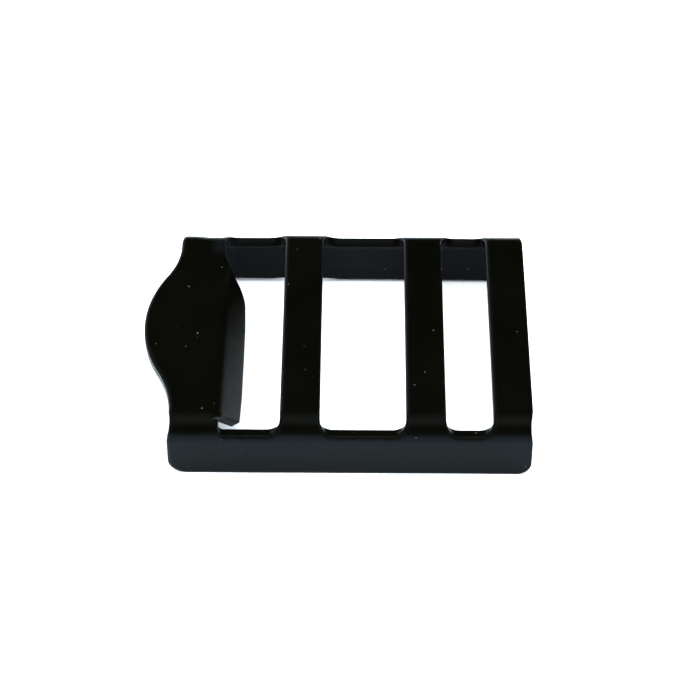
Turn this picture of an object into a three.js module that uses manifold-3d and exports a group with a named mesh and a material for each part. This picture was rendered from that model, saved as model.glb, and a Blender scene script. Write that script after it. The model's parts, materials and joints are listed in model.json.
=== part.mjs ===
// Strap adjuster buckle for 25 mm webbing: one piece of sheet steel.
//
// It is made here as it is made in a press. A flat blank is pierced with three
// slots, its two long sides are folded down as flanges, and a lip along the
// thumb tab is folded down into the first slot.
//
// Frame: millimetres, +Z up. X runs along the buckle with the thumb tab at -X,
// Y runs across the webbing. The origin is the centre of the buckle's footprint,
// on the plane that the two flanges stand on.

import * as THREE from 'three';
import { mergeVertices } from 'three/addons/utils/BufferGeometryUtils.js';
import Module from 'manifold-3d';

// ---- driving dimensions ----------------------------------------------------

const SHEET = 1.0; // thickness of the sheet
const WIDTH = 28.0; // over the outsides of the two flanges
const HEIGHT = 6.35; // from the front flange's lower edge to the top face
const REAR_FLANGE_SHORT = 0.3; // the rear flange ends this much higher
const BEND_RADII = { front: 2.2, rear: 1.95 }; // outside radii of the flange bends

// Lengths along X, from the tab end to the far end.
const TAB_BAR = 4.65;
const SLOT_1 = 5.73;
const BAR_2 = 3.75;
const SLOT_2 = 8.05;
const BAR_3 = 3.74;
const SLOT_3 = 4.41;
const BAR_4 = 3.72;

const SLOT_CORNER = 1.3; // radius of the slots' corners in the flat blank
// How far round the flange bends the slots reach at the middle of the sheet, in
// degrees. The blank sits a little to the front in its bends.
const SLOT_END_ANGLES = { front: 67.5, rear: 50 };
const FLANGE_CORNER = { tabEnd: 1.6, farEnd: 1.45 }; // radii of the flanges' lower corners

const TAB_REACH = 3.0; // how far the thumb tab stands out past the frame
const TAB_RADIUS = 14.0; // radius of the tab's rounded edge
const TAB_FILLETS = { rear: 9.3, front: 12.3 }; // radii that lead the tab back into the frame
const TAB_CENTRE_Y = -0.02; // the tab sits a little off the middle

const LIP_ROOT = 0.85; // the lip's bend starts this far back from the slot
const LIP_BEND_RADIUS = 1.4; // outside radius of the lip's bend
const LIP_ANGLE = 53; // how far the lip is folded down, degrees
const LIP_WIDTH = 3.75; // width of the lip in the flat, from the start of its bend
const LIP_FRONT = -12.55; // Y of the lip's end at the relief cut
const LIP_FRONT_SLANT = 1.69; // how far that end slants back towards the free edge
const LIP_REAR = 7.3; // Y of the lip's other end
const LIP_CORNERS = { front: 0.4, rear: 2.4 }; // radii of the lip's free corners
const RELIEF_CUT = 0.05; // width of the cut that frees the lip from the front flange

const BEND_STEPS = 6; // flat facets in the lip's bend
const CURVE_STEPS = 4; // each drawn arc has twice this many facets
const CORNER_STEPS = 5; // facets in each slot and lip corner
const SLOT_ROWS = 48; // divisions of a slot along its length
const SLOT_OVER = 1.2; // how far a slot's cut goes above the middle of the sheet
const SLOT_UNDER = 0.6; // and below it
const ABOVE = 1; // how far an outline that cuts only lower down goes above the top face
const WELD = 1e-4; // points closer than this are one point
const AXES = [[1, 0, 0], [0, 1, 0], [0, 0, 1]].map((axis) => new THREE.Vector3(...axis));

// ---- dimensions that follow ------------------------------------------------

const LENGTH = TAB_BAR + SLOT_1 + BAR_2 + SLOT_2 + BAR_3 + SLOT_3 + BAR_4;
const END_X = LENGTH / 2;
const SLOT_1_X = -END_X + TAB_BAR;
const SLOT_2_X = SLOT_1_X + SLOT_1 + BAR_2;
const SLOT_3_X = SLOT_2_X + SLOT_2 + BAR_3;
const LIP_X = SLOT_1_X - LIP_ROOT;

// A flange's bend: its radii outside and mid sheet, how far from the centre line
// it starts, the height of its axis, and how far its slot ends reach in the flat.
function flangeBend(outside, slotEndAngle) {
  const middle = outside - SHEET / 2;
  const start = WIDTH / 2 - outside;
  const slotEnd = THREE.MathUtils.degToRad(slotEndAngle);
  return { outside, middle, start, axis: HEIGHT - outside, slotEnd };
}

const FRONT = flangeBend(BEND_RADII.front, SLOT_END_ANGLES.front);
const REAR = flangeBend(BEND_RADII.rear, SLOT_END_ANGLES.rear);

const LIP_FOLD = THREE.MathUtils.degToRad(LIP_ANGLE);
const LIP_MIDDLE_RADIUS = LIP_BEND_RADIUS - SHEET / 2;
const LIP_BEND_LENGTH = LIP_MIDDLE_RADIUS * LIP_FOLD;

// ---- solids ----------------------------------------------------------------

const wasm = await Module();
wasm.setup();

function solidFrom(geometry) {
  geometry.deleteAttribute('normal');
  geometry.deleteAttribute('uv');
  const merged = mergeVertices(geometry, WELD);
  return new wasm.Manifold(new wasm.Mesh({
    numProp: 3,
    vertProperties: merged.attributes.position.array,
    triVerts: new Uint32Array(merged.index.array),
  }));
}

// An outline drawn across the buckle, in Y and Z, drawn out along X.
function drawnAlongX(outline, from, to) {
  const geometry = extruded(outline, to - from);
  const [x, y, z] = AXES;
  geometry.applyMatrix4(new THREE.Matrix4().makeBasis(y, z, x));
  return solidFrom(geometry.translate(from, 0, 0));
}

// An outline drawn on the buckle's side, in X and Z, drawn out over its width.
function drawnAlongY(outline) {
  const geometry = extruded(outline, WIDTH);
  geometry.rotateX(Math.PI / 2);
  return solidFrom(geometry.translate(0, WIDTH / 2, 0));
}

// An outline drawn in plan, in X and Y, given a floor and a height.
function drawnAlongZ(outline, from, to) {
  return solidFrom(extruded(outline, to - from).translate(0, 0, from));
}

function extruded(outline, depth) {
  return new THREE.ExtrudeGeometry(outline, {
    depth,
    bevelEnabled: false,
    curveSegments: CURVE_STEPS,
  });
}

// A closed block divided into a grid of columns and rows, with each of its
// points moved to place(column, row, side), where side is 0 below and 1 above.
function griddedBlock(columns, rows, place) {
  const geometry = new THREE.BoxGeometry(columns, rows, 1, columns, rows, 1);
  const position = geometry.attributes.position;
  for (let n = 0; n < position.count; n += 1) {
    const column = Math.round(position.getX(n) + columns / 2);
    const row = Math.round(position.getY(n) + rows / 2);
    const side = Math.round(position.getZ(n) + 0.5);
    position.setXYZ(n, ...place(column, row, side));
  }
  return solidFrom(geometry);
}

// ---- the bends -------------------------------------------------------------

// Where a point of the flat sheet goes when the flanges are folded down.
// above is its height over the middle of the sheet.
function foldedFlange(x, y, above) {
  const { middle, start, axis } = y < 0 ? FRONT : REAR;
  const turn = Math.max(Math.abs(y) - start, 0) / middle;
  const straight = Math.min(Math.abs(y), start);
  const radius = middle + above;
  return [
    x,
    Math.sign(y) * (straight + radius * Math.sin(turn)),
    axis + radius * Math.cos(turn),
  ];
}

// Where a point of the flat lip goes when the lip is folded down and its front
// end goes round with the flange. distance is from the line where its bend starts.
function foldedLip(distance, y, above) {
  const turn = Math.min(Math.max(distance, 0) / LIP_MIDDLE_RADIUS, LIP_FOLD);
  const before = Math.min(distance, 0);
  const after = Math.max(distance - LIP_BEND_LENGTH, 0);
  const radius = LIP_MIDDLE_RADIUS + above;
  const x = LIP_X + before + radius * Math.sin(turn) + after * Math.cos(turn);
  const drop = radius * (1 - Math.cos(turn)) + after * Math.sin(turn);
  const [, across, up] = foldedFlange(x, y, above);
  return [x, across, up - drop];
}

// Points round a corner from one straight edge to the next: how far each has
// still to go to the first edge's line and to the second's.
function cornerPoints(radius) {
  return Array.from({ length: CORNER_STEPS + 1 }, (_, i) => {
    const turn = (i / CORNER_STEPS) * (Math.PI / 2);
    return { first: radius * (1 - Math.cos(turn)), second: radius * (1 - Math.sin(turn)) };
  });
}

// ---- the channel: top and flanges ------------------------------------------

function channel() {
  const outer = WIDTH / 2;
  const inner = outer - SHEET;
  const section = new THREE.Shape();
  section.moveTo(-inner, 0);
  section.lineTo(-inner, FRONT.axis);
  section.absarc(-FRONT.start, FRONT.axis, FRONT.outside - SHEET, Math.PI, Math.PI / 2, true);
  section.absarc(REAR.start, REAR.axis, REAR.outside - SHEET, Math.PI / 2, 0, true);
  section.lineTo(inner, REAR_FLANGE_SHORT);
  section.lineTo(outer, REAR_FLANGE_SHORT);
  section.absarc(REAR.start, REAR.axis, REAR.outside, 0, Math.PI / 2, false);
  section.absarc(-FRONT.start, FRONT.axis, FRONT.outside, Math.PI / 2, Math.PI, false);
  section.lineTo(-outer, 0);
  return drawnAlongX(section, -END_X, END_X).intersect(drawnAlongY(sideOutline()));
}

// The flanges seen from the side, with their lower corners rounded.
function sideOutline() {
  const { tabEnd, farEnd } = FLANGE_CORNER;
  const outline = new THREE.Shape();
  outline.moveTo(-END_X, HEIGHT + ABOVE);
  outline.lineTo(-END_X, tabEnd);
  outline.absarc(-END_X + tabEnd, tabEnd, tabEnd, Math.PI, Math.PI * 1.5, false);
  outline.absarc(END_X - farEnd, farEnd, farEnd, -Math.PI / 2, 0, false);
  outline.lineTo(END_X, HEIGHT + ABOVE);
  return outline;
}

// What a slot takes away. Its ends reach round into the flange bends.
function slot(left, length) {
  const corner = cornerPoints(SLOT_CORNER);
  const fromLeft = corner.map(({ first, second }) => ({ x: left + first, short: second }));
  const fromRight = corner.map(({ first, second }) => ({ x: left + length - first, short: second }));
  const columns = [...fromLeft, ...fromRight.reverse()];
  return griddedBlock(columns.length - 1, SLOT_ROWS, (column, row, side) => {
    const { x, short } = columns[column];
    const above = side ? SLOT_OVER : -SLOT_UNDER;
    const front = frontReach(short, above);
    const rear = REAR.start + REAR.middle * REAR.slotEnd - short;
    return foldedFlange(x, -front + (front + rear) * (row / SLOT_ROWS), above);
  });
}

// How far a slot reaches to the front in the flat, at a height over the middle of
// the sheet. Its front end face lies level once the flange is bent.
function frontReach(short, above) {
  const { middle, start, slotEnd } = FRONT;
  const level = middle * Math.cos(slotEnd - short / middle);
  return start + middle * Math.acos(Math.min(level / (middle + above), 1));
}

// ---- the thumb tab and its lip ---------------------------------------------

// The tab's plan: out of the frame by a fillet, round its arc and back by the other.
function thumbTab() {
  const centreX = -END_X - TAB_REACH + TAB_RADIUS;
  const [rear, front] = [TAB_FILLETS.rear, TAB_FILLETS.front].map((radius) => {
    const x = -END_X - radius;
    const turn = Math.acos((centreX - x) / (TAB_RADIUS + radius));
    return { radius, x, turn, rise: (TAB_RADIUS + radius) * Math.sin(turn) };
  });
  const rearY = TAB_CENTRE_Y + rear.rise;
  const frontY = TAB_CENTRE_Y - front.rise;
  const outline = new THREE.Shape();
  outline.absarc(rear.x, rearY, rear.radius, 0, -rear.turn, true);
  outline.absarc(centreX, TAB_CENTRE_Y, TAB_RADIUS, Math.PI - rear.turn, Math.PI + front.turn, false);
  outline.absarc(front.x, frontY, front.radius, front.turn, 0, true);
  outline.lineTo(-END_X + LIP_ROOT, frontY);
  outline.lineTo(-END_X + LIP_ROOT, rearY);
  return drawnAlongZ(outline, HEIGHT - SHEET, HEIGHT);
}

// The edge of the tab bar that the lip and its relief cut take out of the top.
function lipRoom() {
  const front = LIP_FRONT - RELIEF_CUT;
  const outline = new THREE.Shape();
  outline.moveTo(LIP_X, front);
  outline.lineTo(SLOT_1_X + LIP_ROOT, front);
  outline.lineTo(SLOT_1_X + LIP_ROOT, LIP_REAR);
  outline.lineTo(LIP_X, LIP_REAR);
  return drawnAlongZ(outline, HEIGHT - 2 * SHEET, HEIGHT + SHEET);
}

function lip() {
  const { front, rear } = LIP_CORNERS;
  const fromFront = cornerPoints(front).reverse().map(({ first, second }) => (
    { inset: first, y: LIP_FRONT + second, slant: LIP_FRONT_SLANT }));
  const fromRear = cornerPoints(rear).map(({ first, second }) => (
    { inset: first, y: LIP_REAR - second, slant: 0 }));
  const bendStart = { inset: 0, y: -FRONT.start, slant: LIP_FRONT_SLANT };
  const rows = [...fromFront, bendStart, ...fromRear];
  const across = [-LIP_ROOT, ...steps(0, LIP_BEND_LENGTH, BEND_STEPS), LIP_WIDTH];
  return griddedBlock(across.length - 1, rows.length - 1, (column, row, side) => {
    const { inset, y, slant } = rows[row];
    const atEdge = column === across.length - 1;
    const distance = across[column] - (atEdge ? inset : 0);
    const slanted = y + (slant * Math.max(distance, 0)) / LIP_WIDTH;
    return foldedLip(distance, slanted, side ? SHEET / 2 : -SHEET / 2);
  });
}

// Evenly spaced values from start to end, both included.
function steps(start, end, count) {
  return Array.from({ length: count + 1 }, (_, i) => start + ((end - start) * i) / count);
}

function buckleSolid() {
  return channel()
    .add(thumbTab())
    .subtract(slot(SLOT_1_X, SLOT_1))
    .subtract(slot(SLOT_2_X, SLOT_2))
    .subtract(slot(SLOT_3_X, SLOT_3))
    .subtract(lipRoom())
    .add(lip());
}

// ---- the part --------------------------------------------------------------

function geometryFrom(solid) {
  const { vertProperties, triVerts } = solid.getMesh();
  const geometry = new THREE.BufferGeometry();
  geometry.setAttribute('position', new THREE.BufferAttribute(vertProperties, 3));
  geometry.setIndex(new THREE.BufferAttribute(triVerts, 1));
  return geometry;
}

const blackCoating = new THREE.MeshStandardMaterial({
  name: 'black_coating',
  color: 0x0c0d0b,
  roughness: 0.35,
  metalness: 0,
});

const buckle = new THREE.Mesh(geometryFrom(buckleSolid()), blackCoating);
buckle.name = 'buckle_frame';
buckle.position.x = TAB_REACH / 2; // centres the footprint, tab included

const part = new THREE.Group();
part.name = 'strap_adjuster_buckle';
part.add(buckle);

export default part;
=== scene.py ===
"""Looks of the strap adjuster buckle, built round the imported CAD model.

The buckle is one bent sheet, so it is one mesh here. The mesh is made as the
sheet is made: a flat blank with its slots and its lip, edges rolled over by the
punch, and then every point is carried round the bends.
Lengths are millimetres up to the mesh, which is made in metres like the scene.
"""

import json
import math

import bpy
import numpy as np
from mathutils import Matrix, Vector
from mathutils.geometry import delaunay_2d_cdt
from mathutils.kdtree import KDTree

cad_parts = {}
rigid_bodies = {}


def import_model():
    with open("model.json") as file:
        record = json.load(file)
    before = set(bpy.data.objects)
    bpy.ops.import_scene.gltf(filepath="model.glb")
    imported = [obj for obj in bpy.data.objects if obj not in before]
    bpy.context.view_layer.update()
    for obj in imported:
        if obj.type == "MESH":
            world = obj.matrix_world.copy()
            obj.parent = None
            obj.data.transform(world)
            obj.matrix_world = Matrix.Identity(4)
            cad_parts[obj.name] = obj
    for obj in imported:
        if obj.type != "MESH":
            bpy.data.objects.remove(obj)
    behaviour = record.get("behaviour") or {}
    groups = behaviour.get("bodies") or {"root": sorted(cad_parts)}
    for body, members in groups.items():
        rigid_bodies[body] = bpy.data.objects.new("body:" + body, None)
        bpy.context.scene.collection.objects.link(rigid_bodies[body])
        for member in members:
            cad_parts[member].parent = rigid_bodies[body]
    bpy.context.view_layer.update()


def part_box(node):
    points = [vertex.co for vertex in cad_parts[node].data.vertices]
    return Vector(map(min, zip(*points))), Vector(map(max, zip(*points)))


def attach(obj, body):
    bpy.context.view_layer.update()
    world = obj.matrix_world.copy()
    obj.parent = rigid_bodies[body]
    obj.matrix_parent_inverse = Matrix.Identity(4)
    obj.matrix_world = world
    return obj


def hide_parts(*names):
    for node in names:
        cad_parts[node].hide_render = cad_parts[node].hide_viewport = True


for item in list(bpy.data.objects):
    bpy.data.objects.remove(item)
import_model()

MM = 0.001
QUARTER = math.pi / 2
NODE = "buckle_frame"
low, high = (np.array(corner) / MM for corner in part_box(NODE))

# ---- dimensions of the sheet, as in the CAD source ---------------------------

SHEET = 1.0
HALF = SHEET / 2
BEND_RADIUS_FRONT, BEND_RADIUS_REAR = 2.2, 1.95
REAR_FLANGE_SHORT = 0.30
TAB_BAR, BAR_2, BAR_3, BAR_4 = 4.65, 3.75, 3.74, 3.72
SLOT_1, SLOT_2, SLOT_3 = 5.73, 8.05, 4.41
SLOT_CORNER = 1.3
SLOT_END_FRONT, SLOT_END_REAR = math.radians(67.5), math.radians(50)
FLANGE_CORNER_TAB_END, FLANGE_CORNER_FAR_END = 1.6, 1.45
TAB_REACH = 3.0
TAB_RADIUS = 14.0
TAB_FILLET_REAR, TAB_FILLET_FRONT = 9.3, 12.3
TAB_CENTRE_Y = -0.02
LIP_ROOT = 0.85
LIP_BEND_RADIUS = 1.4
LIP_FOLD = math.radians(53)
LIP_WIDTH = 3.75
LIP_FRONT = -12.55
LIP_FRONT_SLANT = 1.69
LIP_CORNER_FRONT = 0.4
RELIEF_CUT = 0.05

WIDTH = high[1] - low[1]
HEIGHT = high[2] - low[2]
LENGTH = TAB_BAR + SLOT_1 + BAR_2 + SLOT_2 + BAR_3 + SLOT_3 + BAR_4
END = LENGTH / 2
FRAME_X = high[0] - END  # the frame's middle; the tab puts it off the origin
SLOT_1_X = -END + TAB_BAR
SLOT_2_X = SLOT_1_X + SLOT_1 + BAR_2
SLOT_3_X = SLOT_2_X + SLOT_2 + BAR_3
LIP_X = SLOT_1_X - LIP_ROOT


class Bend:
    """A flange's bend: its radii and heights, and where it starts and ends in the flat."""

    def __init__(self, radius, slot_angle, short=0.0):
        self.middle = radius - HALF
        self.level = HEIGHT - radius
        self.start = WIDTH / 2 - radius
        self.end = self.start + self.middle * QUARTER
        self.slot = self.start + self.middle * slot_angle
        self.edge = self.end + self.level - short


FRONT = Bend(BEND_RADIUS_FRONT, SLOT_END_FRONT)
REAR = Bend(BEND_RADIUS_REAR, SLOT_END_REAR, REAR_FLANGE_SHORT)

LIP_MIDDLE_RADIUS = LIP_BEND_RADIUS - HALF
LIP_BEND_LENGTH = LIP_MIDDLE_RADIUS * LIP_FOLD

# ---- what the press leaves, too fine for the CAD -------------------------------

REAR_EDGE_SLOPE = 0.14  # the rear flange's edge runs out of true by this much
LIP_TAPER = 0.15  # the lip's free edge draws in towards its front corner
LIP_TAPER_FROM = -7.3  # from this Y on
LIP_BACK_FROM = 4.9  # it draws in towards its rear, where its long curve starts
LIP_BACK_RADIUS = 3.0
LIP_BACK_FILLET = 4.5
NECK_SIDE = 0.33  # the tab bar's inner edge behind the lip stands this far back
FOLD_FADES = (6.0, 13.2)  # the lip's fold dies out between these Y
RELIEF_CORNER = 0.22  # rounds the tab bar's corner at the mouth of the relief cut
SLOT_CORNER_BY_RELIEF = 0.55  # and the slot's own corner beside it is tighter
LEVEL_RUN = 1.2  # a slot's wall comes to lie level over this distance
NECKING = 0.17  # the outside edges draw in where they go round the bends
FLARE_TAB_END, FLARE_FAR_END = 0.20, 0.0  # and the flanges spread past the bends
SAG = 0.16  # the tab bar is pulled down by its lip near the rear bend
LIFT = 0.13  # and the next bar stands a little high there
WAVER = 0.012  # the sheet isn't quite flat
LONG_WAVES = ((0.41, 0.9), (0.33, 0.2))  # along each way: radians a millimetre, and at 0
SHORT_WAVE = (0.83, -0.5)
SHORT_WAVE_SHARE = 0.6

# ---- fineness ----------------------------------------------------------------

EDGE_STEP = 0.2  # along the cut edges
ARC_STEP = math.radians(8)
GRID_FLAT = 0.5  # between the points inside the flat stretches
GRID_BEND = 0.2  # and round the bends
GRID_LIP = 0.16
GRID_CLEAR = 0.6 * GRID_BEND  # the grid keeps this far from the edges' own points
TOUCHING = 1e-6  # points closer than this are one point
MERGED = 1e-7  # and the triangulation takes these as one
UNFOLDED = 1e-4  # the least share of a fold, so that its radius stays finite

# ---- the cut edge's section ----------------------------------------------------

ROLL_WIDTH, ROLL_DEPTH = 0.31, 0.16  # the punch side, on the outside of the bends
ROLL_LEAN = 0.4  # edges that face the tab end are rolled more by this share
ROLL_END = 0.6  # the slots' ends, pierced hardest, this much more
ROLL_AT_RELIEF = 0.35  # and the sheared relief cut is rolled only this much
RELIEF_REACH = 1.5 * SHEET  # out to this distance
BURR_WIDTH, BURR_DEPTH = 0.12, 0.12  # the other side
ROLL_STEPS, BURR_STEPS = 7, 4


def arc(centre, radius, start, end):
    """Points round an arc, both ends included. Angles in radians."""
    turn = abs(end - start)
    count = max(2, math.ceil(turn / ARC_STEP), math.ceil(turn * radius / EDGE_STEP))
    angles = np.linspace(start, end, count + 1)
    return [(centre[0] + radius * math.cos(a), centre[1] + radius * math.sin(a)) for a in angles]


def closed(*stretches):
    """One loop from stretches of points, with the straights between them divided."""
    corners = [np.array(point) for stretch in stretches for point in stretch]
    points = []
    for here, there in zip(corners, corners[1:] + corners[:1]):
        length = np.linalg.norm(there - here)
        if length < TOUCHING:
            continue
        count = max(1, round(length / EDGE_STEP))
        points += [here + (there - here) * i / count for i in range(count)]
    return np.array(points)


def blank_outline():
    """The blank's outside, anticlockwise from the front flange's corner at the tab end."""
    tab, far = FLANGE_CORNER_TAB_END, FLANGE_CORNER_FAR_END
    centre_x = -END - TAB_REACH + TAB_RADIUS
    front, rear = -FRONT.edge, REAR.edge
    rear_x, rear_turn, rear_rise = tab_fillet(centre_x, TAB_FILLET_REAR)
    front_x, front_turn, front_rise = tab_fillet(centre_x, TAB_FILLET_FRONT)
    return closed(
        arc((-END + tab, front + tab), tab, math.pi, 3 * QUARTER),
        arc((END - far, front + far), far, -QUARTER, 0),
        arc((END - far, rear - far), far, 0, QUARTER),
        arc((-END + tab, rear - REAR_EDGE_SLOPE - tab), tab, QUARTER, math.pi),
        arc((rear_x, TAB_CENTRE_Y + rear_rise), TAB_FILLET_REAR, 0, -rear_turn),
        arc((centre_x, TAB_CENTRE_Y), TAB_RADIUS, math.pi - rear_turn, math.pi + front_turn),
        arc((front_x, TAB_CENTRE_Y - front_rise), TAB_FILLET_FRONT, front_turn, 0),
    )


def tab_fillet(centre_x, radius):
    """Where a fillet that leads into the tab's arc has its centre, and how far it turns."""
    x = -END - radius
    turn = math.acos((centre_x - x) / (TAB_RADIUS + radius))
    return x, turn, (TAB_RADIUS + radius) * math.sin(turn)


def slot_outline(left, length):
    """A slot, clockwise."""
    r = SLOT_CORNER
    right = left + length
    return closed(
        arc((left + r, -FRONT.slot + r), r, 3 * QUARTER, math.pi),
        arc((left + r, REAR.slot - r), r, math.pi, QUARTER),
        arc((right - r, REAR.slot - r), r, QUARTER, 0),
        arc((right - r, -FRONT.slot + r), r, 0, -QUARTER),
    )


def lip_slot_outline():
    """The first slot, clockwise, with the lip left standing in it from its tab side."""
    r = SLOT_CORNER
    left, right = SLOT_1_X, SLOT_1_X + SLOT_1
    free = LIP_X + LIP_WIDTH
    slant = math.atan2(LIP_FRONT_SLANT, LIP_WIDTH)
    front = LIP_CORNER_FRONT
    front_set = front * math.tan((QUARTER - slant) / 2)
    front_y = LIP_FRONT + LIP_FRONT_SLANT
    tip = RELIEF_CUT / 2
    mouth = LIP_FRONT - RELIEF_CUT
    near = SLOT_CORNER_BY_RELIEF

    back, fillet = LIP_BACK_RADIUS, LIP_BACK_FILLET
    back_x = free - LIP_TAPER - back
    neck_x = left - NECK_SIDE
    fillet_x = neck_x + fillet
    turn = math.acos((fillet_x - back_x) / (back + fillet))
    fillet_y = LIP_BACK_FROM + (back + fillet) * math.sin(turn)
    return closed(
        arc((left + near, -FRONT.slot + near), near, 3 * QUARTER, math.pi),
        arc((left - RELIEF_CORNER, mouth - RELIEF_CORNER), RELIEF_CORNER, 0, QUARTER),
        arc((LIP_X, LIP_FRONT - tip), tip, 3 * QUARTER, QUARTER + slant),
        arc((free - LIP_TAPER - front, front_y + front_set), front, -QUARTER + slant, 0),
        [(free, LIP_TAPER_FROM), (free, LIP_BACK_FROM - back)],
        arc((back_x, LIP_BACK_FROM), back, 0, turn),
        arc((fillet_x, fillet_y), fillet, math.pi + turn, math.pi),
        arc((neck_x + r, REAR.slot - r), r, math.pi, QUARTER),
        arc((right - r, REAR.slot - r), r, QUARTER, 0),
        arc((right - r, -FRONT.slot + r), r, 0, -QUARTER),
    )


def inward(points):
    """Unit vectors into the metal at each point of a loop: left of the way it runs."""
    ahead = np.roll(points, -1, axis=0) - points
    ahead /= np.linalg.norm(ahead, axis=1)[:, None]
    mean = ahead + np.roll(ahead, 1, axis=0)
    mean /= np.linalg.norm(mean, axis=1)[:, None]
    return np.stack([-mean[:, 1], mean[:, 0]], axis=1)


def roll_share(points, into):
    """How much of the full edge roll each point of a loop gets."""
    at_ends = np.maximum(into[:, 1] * np.sign(points[:, 1]), 0)
    share = 1 + ROLL_LEAN * into[:, 0] + ROLL_END * at_ends
    beyond = np.maximum(np.abs(points[:, 0] - LIP_X) - LIP_ROOT, 0)
    from_relief = np.hypot(beyond, points[:, 1] - LIP_FRONT)
    return ROLL_AT_RELIEF + (share - ROLL_AT_RELIEF) * smooth(from_relief / RELIEF_REACH)


def edge_section(roll):
    """The cut edge from the top face to the bottom one: (how far in, height over the middle).

    roll holds the share of the full roll that each point along the edge gets.
    """
    section = []
    for a in np.linspace(0, QUARTER, ROLL_STEPS + 1):
        drop = ROLL_DEPTH * (1 - math.cos(a))
        section.append((roll * ROLL_WIDTH * (1 - math.sin(a)), HALF - roll * drop))
    section.append((0 * roll, 0 * roll))
    for a in np.linspace(0, QUARTER, BURR_STEPS + 1):
        rise = BURR_DEPTH * (1 - math.sin(a))
        section.append((BURR_WIDTH * (1 - math.cos(a)) + 0 * roll, rise - HALF + 0 * roll))
    return section


def levelled(points, above):
    """A slot's points at a height over the middle: its front wall lies level once bent."""
    y = points[:, 1]
    level = FRONT.middle * math.cos(SLOT_END_FRONT)
    further = FRONT.middle * (np.arccos(level / (FRONT.middle + above)) - SLOT_END_FRONT)
    share = smooth(1 - (FRONT.slot + y) / LEVEL_RUN)
    return np.stack([points[:, 0], y - share * further], axis=1)


# ---- the bends -----------------------------------------------------------------


def smooth(x):
    """0 to 1 as x goes from 0 to 1, level at both ends and held beyond them."""
    x = np.clip(x, 0, 1)
    return x * x * (3 - 2 * x)


def lip_share(x, y):
    """How fully the lip's bend is made at a place: it dies out towards the rear flange."""
    start, end = FOLD_FADES
    beside = (x > LIP_X) & (x < LIP_X + LIP_WIDTH + HALF)
    share = np.sqrt(1 - smooth((y - start) / (end - start)))
    return np.where(beside & (y > LIP_FRONT - RELIEF_CUT / 2), share, 0)


def bent(x, y, above):
    """Where points of the flat sheet go: the lip's fold first, then the flanges'."""
    share = np.maximum(lip_share(x, y), UNFOLDED)
    distance = np.maximum(x - LIP_X, 0) * (share > 2 * UNFOLDED)
    radius = LIP_MIDDLE_RADIUS / share
    turn = np.minimum(distance, LIP_BEND_LENGTH) / radius
    after = np.maximum(distance - LIP_BEND_LENGTH, 0)
    lipped_x = LIP_X + (radius + above) * np.sin(turn) + after * np.cos(turn)
    lipped_x = np.where(distance > 0, lipped_x, x)
    drop = (radius + above) * (1 - np.cos(turn)) + after * np.sin(turn)

    front = y < 0
    middle, level, start, end = (
        np.where(front, getattr(FRONT, name), getattr(REAR, name))
        for name in ("middle", "level", "start", "end"))
    reach = np.abs(y)
    angle = np.clip((reach - start) / middle, 0, QUARTER)
    down = np.maximum(reach - end, 0)
    out = np.minimum(reach, start) + (middle + above) * np.sin(angle)
    up = level + (middle + above) * np.cos(angle) - down

    by_end = smooth(1 - (END - np.abs(x)) / (2 * SHEET)) * (np.abs(x) <= END)
    flare = np.where(x < 0, FLARE_TAB_END, FLARE_FAR_END)
    spread_out = flare * smooth(angle / QUARTER) - NECKING * np.sin(2 * angle)
    placed_x = lipped_x + np.sign(x) * by_end * spread_out
    placed_up = up - drop - sag(x, y) + waver(x, y) * np.cos(angle)
    placed_out = out + waver(y, x) * np.sin(angle)
    return np.stack([placed_x + FRAME_X, np.sign(y) * placed_out, placed_up], axis=1)


def sag(x, y):
    """How far the tab bar is pulled down at the rear, between its tab and its lip.

    The next bar stands up there instead.
    """
    past_end = smooth((x + END - SHEET) / (2 * SHEET))
    short_of_slot = smooth((SLOT_1_X + HALF - x) / (1.5 * SHEET))
    from_middle = np.abs(x - (SLOT_1_X + SLOT_1 + BAR_2 / 2))
    next_bar = smooth((BAR_2 - from_middle) / (BAR_2 / 2))
    towards_rear = smooth((y - REAR.start / 2) / (REAR.start / 2))
    return (SAG * past_end * short_of_slot - LIFT * next_bar) * towards_rear


def waver(x, y):
    """A few slow waves, a little different everywhere."""
    (pitch_x, shift_x), (pitch_y, shift_y) = LONG_WAVES
    long_wave = np.sin(pitch_x * x + shift_x) * np.sin(pitch_y * y + shift_y)
    short_wave = np.sin(SHORT_WAVE[0] * x + SHORT_WAVE[1] * y)
    return WAVER * (long_wave + SHORT_WAVE_SHARE * short_wave)


# ---- the mesh --------------------------------------------------------------------

ROLLED_EDGE = "rolled_edge"  # values on the mesh that the coating reads
UNDERSIDE = "underside"


def inside(points, loops):
    """Which points lie in the metal, by counting the edges to their left."""
    found = np.zeros(len(points), bool)
    for loop in loops:
        for (ax, ay), (bx, by) in zip(loop, np.roll(loop, -1, axis=0)):
            if ay == by:
                continue
            spans = (points[:, 1] >= min(ay, by)) & (points[:, 1] < max(ay, by))
            cross = ax + (points[:, 1] - ay) * (bx - ax) / (by - ay)
            found ^= spans & (cross < points[:, 0])
    return found


def spread(start, end, step):
    """Even places from start to end, about a step apart."""
    return np.linspace(start, end, max(1, round((end - start) / step)) + 1)


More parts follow.
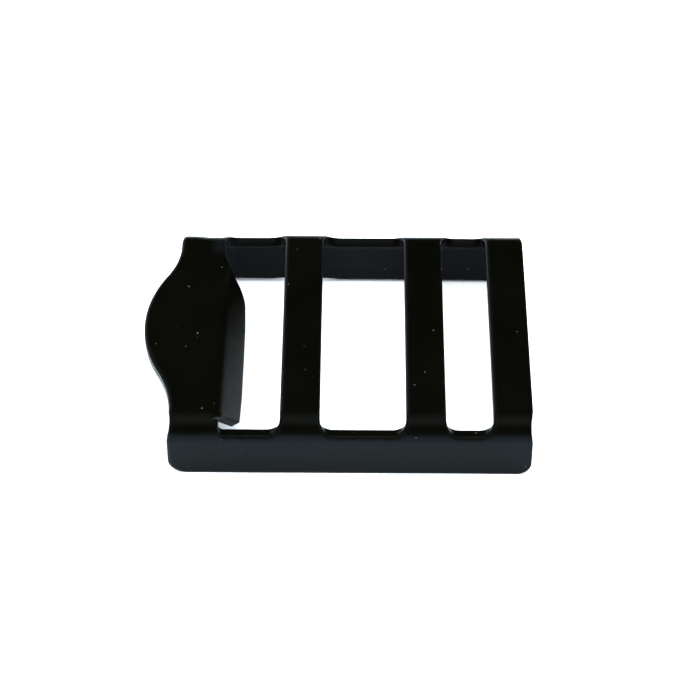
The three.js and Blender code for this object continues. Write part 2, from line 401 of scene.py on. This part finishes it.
def grid_points():
    """Rows and columns of points that follow the bends."""
    rows = np.concatenate([
        spread(-FRONT.edge, -FRONT.end, GRID_FLAT)[:-1],
        spread(-FRONT.end, -FRONT.start, GRID_BEND)[:-1],
        spread(-FRONT.start, REAR.start, GRID_FLAT),
        spread(REAR.start, REAR.end, GRID_BEND)[1:],
        spread(REAR.end, REAR.edge, GRID_FLAT)[1:],
    ])
    lip_end = LIP_X + LIP_WIDTH
    columns = np.concatenate([
        spread(low[0] - FRAME_X, LIP_X, GRID_FLAT)[:-1],
        spread(LIP_X, LIP_X + LIP_BEND_LENGTH, GRID_LIP)[:-1],
        spread(LIP_X + LIP_BEND_LENGTH, lip_end, GRID_FLAT)[:-1],
        spread(lip_end, END, GRID_FLAT),
    ])
    x, y = np.meshgrid(columns, rows)
    return np.stack([x.ravel(), y.ravel()], axis=1)


def clear_of(points, loops, gap):
    """The points that keep a gap to the loops' own points."""
    edge = np.concatenate(loops)
    tree = KDTree(len(edge))
    for i, (x, y) in enumerate(edge):
        tree.insert((x, y, 0), i)
    tree.balance()
    keep = [tree.find((x, y, 0))[2] > gap for x, y in points]
    return points[np.array(keep, bool)]


def faced(loops, first_numbers, above, vertices, faces, upward):
    """Fills a face of the sheet inside its rims, whose vertices are there already."""
    inner = grid_points()
    inner = inner[inside(inner, loops)]
    inner = clear_of(inner, loops, GRID_CLEAR)
    rim = np.concatenate(loops)
    rim_numbers = np.concatenate(
        [first + np.arange(len(loop)) for loop, first in zip(loops, first_numbers)])
    edges, start = [], 0
    for loop in loops:
        n = len(loop)
        edges += [(start + i, start + (i + 1) % n) for i in range(n)]
        start += n
    flat = np.concatenate([rim, inner])
    numbers = np.concatenate([rim_numbers, len(vertices) + np.arange(len(inner))])
    vertices.extend((x, y, above) for x, y in inner)
    result = delaunay_2d_cdt([Vector(p) for p in flat], edges, [], 0, MERGED)
    placed = np.array([tuple(p) for p in result[0]])
    source = [numbers[origin[0]] for origin in result[3]]
    triangles = np.array(result[2])
    middles = placed[triangles].mean(axis=1)
    for triangle in triangles[inside(middles, loops)]:
        a, b, c = (int(source[i]) for i in triangle)
        faces.append((a, b, c) if upward else (a, c, b))


def sheet_mesh(name):
    """The whole sheet: its cut edges ring by ring, then its two faces, then the bends."""
    loops = [
        blank_outline(),
        lip_slot_outline(),
        slot_outline(SLOT_2_X, SLOT_2),
        slot_outline(SLOT_3_X, SLOT_3),
    ]
    rings = ROLL_STEPS + BURR_STEPS + 3
    vertices, faces, rolled = [], [], []
    rims = {0: [], rings - 1: []}
    numbers = {0: [], rings - 1: []}
    for loop in loops:
        into = inward(loop)
        n = len(loop)
        first = len(vertices)
        for k, (inset, above) in enumerate(edge_section(roll_share(loop, into))):
            ring = loop if loop is loops[0] else levelled(loop, above)
            ring = ring + into * inset[:, None]
            vertices.extend((x, y, z) for (x, y), z in zip(ring, above))
            rolled += [math.sin(math.pi * min(k / ROLL_STEPS, 1))] * n
            if k in rims:
                rims[k].append(ring)
                numbers[k].append(first + k * n)
        for k in range(rings - 1):
            here, there = first + k * n, first + (k + 1) * n
            for i in range(n):
                j = (i + 1) % n
                faces.append((here + i, there + i, there + j, here + j))
    faced(rims[0], numbers[0], HALF, vertices, faces, upward=True)
    faced(rims[rings - 1], numbers[rings - 1], -HALF, vertices, faces, upward=False)
    flat = np.array(vertices, float)
    places = bent(flat[:, 0], flat[:, 1], flat[:, 2]) * MM
    mesh = bpy.data.meshes.new(name)
    mesh.from_pydata(places.tolist(), [], faces)
    edge = mesh.attributes.new(ROLLED_EDGE, "FLOAT", "POINT")
    edge.data.foreach_set("value", rolled + [0.0] * (len(vertices) - len(rolled)))
    under = mesh.attributes.new(UNDERSIDE, "FLOAT", "POINT")
    under.data.foreach_set("value", np.clip(-flat[:, 2] / HALF, 0, 1))
    mesh.validate()
    mesh.shade_smooth()
    piece = bpy.data.objects.new(name, mesh)
    bpy.context.scene.collection.objects.link(piece)
    return piece


# ---- materials -------------------------------------------------------------------

MIX_INPUTS, MIX_OUTPUT = (0, 6, 7), 2  # a mix node's sockets when it mixes colours
SPECK_EDGE = 0.01  # how softly a speck ends, as a share of its spacing

COAT_DARK = (0.00061, 0.00057, 0.00028, 1)
COAT_OLIVE = (0.00079, 0.00076, 0.00034, 1)
COAT_GREY = (0.00116, 0.00108, 0.00063, 1)
COAT_RUBBED = (0.00330, 0.00330, 0.00270, 1)
DUST = (0.05, 0.05, 0.045, 1)
COAT_PAINTED_SHEEN = (0.0018, 0.0020, 0.0019, 1)  # painted reflection: a lighter patch on the tab bar by the rear bend, standing in for light that its tilted surface mirrors
SHEEN_PATCH_X = (FRAME_X - 13.3, FRAME_X - 12.4, 1.0)  # from, to, and how softly it ends
SHEEN_PATCH_Y = (11.3, 13.0, 1.6)
PAPER_DARK = (0.84, 0.84, 0.84, 1)
PAPER_LIGHT = (0.86, 0.86, 0.855, 1)


class Nodes:
    """Short ways to add and join nodes of one material."""

    def __init__(self, name):
        self.material = bpy.data.materials.new(name)
        self.material.use_nodes = True
        self.tree = self.material.node_tree
        self.shader = self.tree.nodes["Principled BSDF"]
        self.place = self.add("ShaderNodeTexCoord").outputs["Object"]

    def add(self, kind, **settings):
        """A node with its settings made."""
        node = self.tree.nodes.new(kind)
        for key, value in settings.items():
            setattr(node, key, value)
        return node

    def put(self, socket, value):
        """Joins value to the socket, or sets it there if it is a constant."""
        if isinstance(value, bpy.types.NodeSocket):
            self.tree.links.new(value, socket)
        else:
            socket.default_value = value

    def noise(self, size, detail=2.0, roughness=0.5):
        """Noise with features about size millimetres across."""
        node = self.add("ShaderNodeTexNoise")
        self.put(node.inputs["Vector"], self.place)
        node.inputs["Scale"].default_value = 1 / (size * MM)
        node.inputs["Detail"].default_value = detail
        node.inputs["Roughness"].default_value = roughness
        return node.outputs["Fac"]

    def math(self, operation, *values):
        """One sum."""
        node = self.add("ShaderNodeMath", operation=operation)
        for socket, value in zip(node.inputs, values):
            self.put(socket, value)
        return node.outputs[0]

    def ramp(self, value, start, end, low=0.0, high=1.0):
        """value carried from the span start..end to low..high, smoothly, and held there."""
        node = self.add("ShaderNodeMapRange", interpolation_type="SMOOTHSTEP")
        for socket, setting in zip(node.inputs, (value, start, end, low, high)):
            self.put(socket, setting)
        return node.outputs["Result"]

    def within(self, axis, span):
        """1 from start to end along an axis, in mm, dying out softly past both of them."""
        node = self.add("ShaderNodeSeparateXYZ")
        self.put(node.inputs[0], self.place)
        along = self.math("DIVIDE", node.outputs[axis], MM)
        start, end, soft = span
        return self.math(
            "MULTIPLY",
            self.ramp(along, start - soft, start),
            self.ramp(along, end, end + soft, 1.0, 0.0))

    def mix(self, share, a, b):
        """Colours a and b mixed by share."""
        node = self.add("ShaderNodeMix", data_type="RGBA")
        for number, value in zip(MIX_INPUTS, (share, a, b)):
            self.put(node.inputs[number], value)
        return node.outputs[MIX_OUTPUT]

    def specks(self, spacing, radius, share):
        """Round specks, spacing apart and up to radius in mm, in a share of the cells."""
        cells = self.add("ShaderNodeTexVoronoi")
        self.put(cells.inputs["Vector"], self.place)
        cells.inputs["Scale"].default_value = 1 / (spacing * MM)
        pick = self.add("ShaderNodeSeparateColor")
        self.put(pick.inputs[0], cells.outputs["Color"])
        size = self.ramp(pick.outputs[0], 1 - share, 1.0, 0.0, radius / spacing)
        return self.ramp(self.math("SUBTRACT", size, cells.outputs["Distance"]), 0.0, SPECK_EDGE)

    def bump(self, heights):
        """Relief from a list of (value, height in mm), each on top of the one before."""
        normal = None
        for value, height in heights:
            node = self.add("ShaderNodeBump")
            node.inputs["Distance"].default_value = height * MM
            self.put(node.inputs["Height"], value)
            if normal is not None:
                self.put(node.inputs["Normal"], normal)
            normal = node.outputs["Normal"]
        self.put(self.shader.inputs["Normal"], normal)


def black_coating():
    """Satin coating on steel: olive black, a little uneven, dusty and rubbed at its edges, with a
    painted reflection on the tab bar by the rear bend.
    """
    n = Nodes("black_coating")
    edge = n.add("ShaderNodeAttribute", attribute_name=ROLLED_EDGE).outputs["Fac"]
    underside = n.add("ShaderNodeAttribute", attribute_name=UNDERSIDE).outputs["Fac"]
    cloud = n.noise(6.0, 3.0)
    grain = n.noise(0.35, 3.0, 0.6)
    pores = n.noise(0.12, 2.0)

    coat = n.mix(n.ramp(cloud, 0.35, 0.65), COAT_DARK, COAT_OLIVE)
    coat = n.mix(n.math("MULTIPLY", n.ramp(grain, 0.45, 0.75), 0.35), coat, COAT_GREY)
    rubbed = n.math("MULTIPLY", edge, n.ramp(grain, 0.25, 0.7, 0.3, 1.0))
    coat = n.mix(n.math("MULTIPLY", rubbed, 0.6), coat, COAT_RUBBED)
    # painted reflection: the tab bar by the rear bend is made lighter in colour, standing in for
    # light that its tilted surface mirrors
    painted_sheen = n.math("MULTIPLY", n.within(0, SHEEN_PATCH_X), n.within(1, SHEEN_PATCH_Y))
    coat = n.mix(painted_sheen, coat, COAT_PAINTED_SHEEN)
    dust = n.math("MAXIMUM", n.specks(0.95, 0.10, 0.40), n.specks(1.6, 0.12, 0.30))
    coat = n.mix(n.math("MULTIPLY", dust, 0.8), coat, DUST)
    n.put(n.shader.inputs["Base Color"], coat)

    rough = n.math("ADD", n.ramp(cloud, 0.3, 0.7, 0.30, 0.36), n.ramp(grain, 0.3, 0.7, -0.03, 0.03))
    rough = n.math("ADD", rough, n.math("MULTIPLY", dust, 0.4))
    rough = n.math("ADD", rough, n.math("MULTIPLY", underside, 0.22))
    n.put(n.shader.inputs["Roughness"], rough)
    n.shader.inputs["Specular IOR Level"].default_value = 0.065
    n.shader.inputs["Specular Tint"].default_value = (0.62, 0.86, 1.0, 1)
    n.bump([(cloud, 0.02), (grain, 0.0035), (pores, 0.0008)])
    return n.material


# ---- the buckle ------------------------------------------------------------------

buckle = sheet_mesh("buckle")
buckle.data.materials.append(black_coating())
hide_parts(NODE)
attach(buckle, "root")

# ---- camera ----------------------------------------------------------------------

ELEVATION = math.radians(43.57)
AZIMUTH = math.radians(-0.247)
ROLL = math.radians(0.145)
DISTANCE = 0.24975  # metres
LENS, SENSOR = 131.88, 36
NEAREST, FURTHEST = 0.01, 10  # metres
LOOK_AT = Vector((FRAME_X - 0.1465, -0.4104, HEIGHT - 3.125)) * MM  # near the buckle's middle


def add_camera():
    """The camera, turned by azimuth, elevation and roll about the point it looks at."""
    ahead = Vector((
        math.sin(AZIMUTH) * math.cos(ELEVATION),
        math.cos(AZIMUTH) * math.cos(ELEVATION),
        -math.sin(ELEVATION),
    ))
    right = Vector((math.cos(AZIMUTH), -math.sin(AZIMUTH), 0))
    upward = right.cross(ahead)
    turned_right = right * math.cos(ROLL) + upward * math.sin(ROLL)
    turned_up = upward * math.cos(ROLL) - right * math.sin(ROLL)
    data = bpy.data.cameras.new("camera")
    data.lens = LENS
    data.sensor_width = SENSOR
    data.clip_start, data.clip_end = NEAREST, FURTHEST
    camera = bpy.data.objects.new("camera", data)
    turn = Matrix((turned_right, turned_up, -ahead)).transposed()
    camera.matrix_world = Matrix.Translation(LOOK_AT - ahead * DISTANCE) @ turn.to_4x4()
    bpy.context.scene.collection.objects.link(camera)
    bpy.context.scene.camera = camera


add_camera()

# ---- floor and lights --------------------------------------------------------------

FLOOR_HALF = 1.5  # metres
COOL, WARM, WHITE = (0.80, 0.90, 1.0), (1.0, 0.82, 0.67), (1, 1, 1)


def white_paper():
    """Matt white paper, hardly uneven."""
    n = Nodes("white_paper")
    fibre = n.noise(1.5, 4.0, 0.6)
    tone = n.noise(80.0, 2.0)
    n.put(n.shader.inputs["Base Color"], n.mix(n.ramp(tone, 0.3, 0.7), PAPER_DARK, PAPER_LIGHT))
    n.put(n.shader.inputs["Roughness"], n.ramp(fibre, 0.3, 0.7, 0.85, 0.95))
    n.shader.inputs["Specular IOR Level"].default_value = 0.1
    n.bump([(fibre, 0.02)])
    return n.material


def add_floor():
    """A flat sheet of paper under the buckle."""
    mesh = bpy.data.meshes.new("floor")
    corners = [(x * FLOOR_HALF, y * FLOOR_HALF, 0) for x, y in ((-1, -1), (1, -1), (1, 1), (-1, 1))]
    mesh.from_pydata(corners, [], [(0, 1, 2, 3)])
    mesh.materials.append(white_paper())
    floor = bpy.data.objects.new("floor", mesh)
    bpy.context.scene.collection.objects.link(floor)


def add_soft_light(name, azimuth, elevation, distance, size, radiance, colour, shines=True):
    """A square soft light facing the buckle.

    azimuth turns from +X towards +Y, both angles are in degrees, and distance
    and size in metres. A light that doesn't shine lights surfaces without being
    mirrored in them.
    """
    flat, rise = math.radians(azimuth), math.radians(elevation)
    toward = Vector((
        math.cos(flat) * math.cos(rise), math.sin(flat) * math.cos(rise), math.sin(rise)))
    data = bpy.data.lights.new(name, "AREA")
    data.shape = "SQUARE"
    data.size = size
    data.energy = radiance * math.pi * size * size
    data.color = colour
    light = bpy.data.objects.new(name, data)
    light.location = toward * distance
    light.rotation_mode = "QUATERNION"
    light.rotation_quaternion = (-toward).to_track_quat("-Z", "Y")
    light.visible_glossy = shines
    bpy.context.scene.collection.objects.link(light)


def set_world(strength):
    """Even white light from everywhere."""
    world = bpy.data.worlds.new("studio")
    world.use_nodes = True
    background = world.node_tree.nodes["Background"]
    background.inputs["Color"].default_value = (1, 1, 1, 1)
    background.inputs["Strength"].default_value = strength
    bpy.context.scene.world = world


add_floor()
add_soft_light("ceiling", 90, 90, 1.0, 2.6, 6.3, COOL, shines=False)
add_soft_light("overhead card", -92, 72, 0.8, 0.46, 2.45, WARM)
add_soft_light("rear overhead card", 90, 82, 0.9, 0.36, 1.3, WARM)
add_soft_light("left card", 132, 12, 0.9, 0.45, 3.5, WHITE)
set_world(0.02)
bpy.context.scene.view_settings.view_transform = "Standard"
